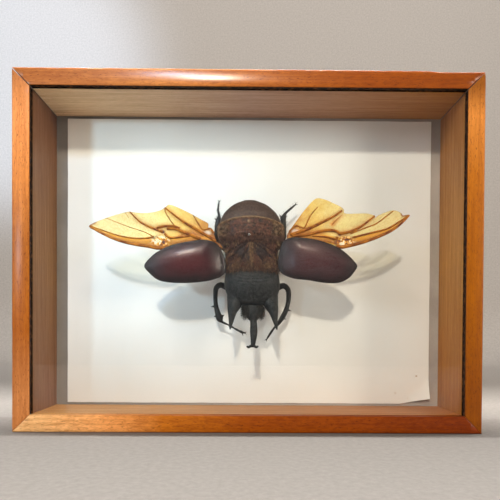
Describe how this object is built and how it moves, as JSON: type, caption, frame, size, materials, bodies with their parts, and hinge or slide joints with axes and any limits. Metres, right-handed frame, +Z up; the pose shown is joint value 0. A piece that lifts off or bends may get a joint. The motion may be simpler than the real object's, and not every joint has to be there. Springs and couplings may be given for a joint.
{
  "type": "framed rhinoceros beetle",
  "caption": "Spread rhinoceros beetle pinned on a white sheet in a glazed wooden box frame that stands upright or hangs flat on a wall.",
  "frame": {"origin": "centre of the frame's underside, halfway through its depth", "axes": "+X to the viewer's right along the long sides, -Y out of the glass towards the viewer, +Z up"},
  "size_m": [0.26, 0.048, 0.2],
  "materials": {
    "frame_wood": "varnished orange-brown wood with fine dark pores",
    "pane": "clear flat glass",
    "board": "matt grey backing board",
    "sheet": "white matt paper, one corner lifted",
    "pin": "bright steel pin",
    "brown_chitin": "brown insect cuticle with short golden hairs",
    "black_chitin": "satin blackish insect cuticle",
    "wing_case": "smooth wine-brown wing case with a soft gloss",
    "wing_membrane": "translucent amber membrane with brown veins"
  },
  "bodies": {
    "root": {"top_rail": "frame_wood", "bottom_rail": "frame_wood", "left_stile": "frame_wood", "right_stile": "frame_wood", "glass_pane": "pane", "backing_board": "board", "backing_sheet": "sheet", "mount_pin": "pin", "abdomen": "brown_chitin", "thorax": "brown_chitin", "pronotum": "black_chitin", "head": "black_chitin", "front_leg_left": "black_chitin", "front_leg_right": "black_chitin", "middle_leg_left": "black_chitin", "middle_leg_right": "black_chitin", "hind_leg_left": "black_chitin", "hind_leg_right": "black_chitin", "elytron_left": "wing_case", "elytron_right": "wing_case", "hind_wing_left": "wing_membrane", "hind_wing_right": "wing_membrane"}
  },
  "joints": []
}
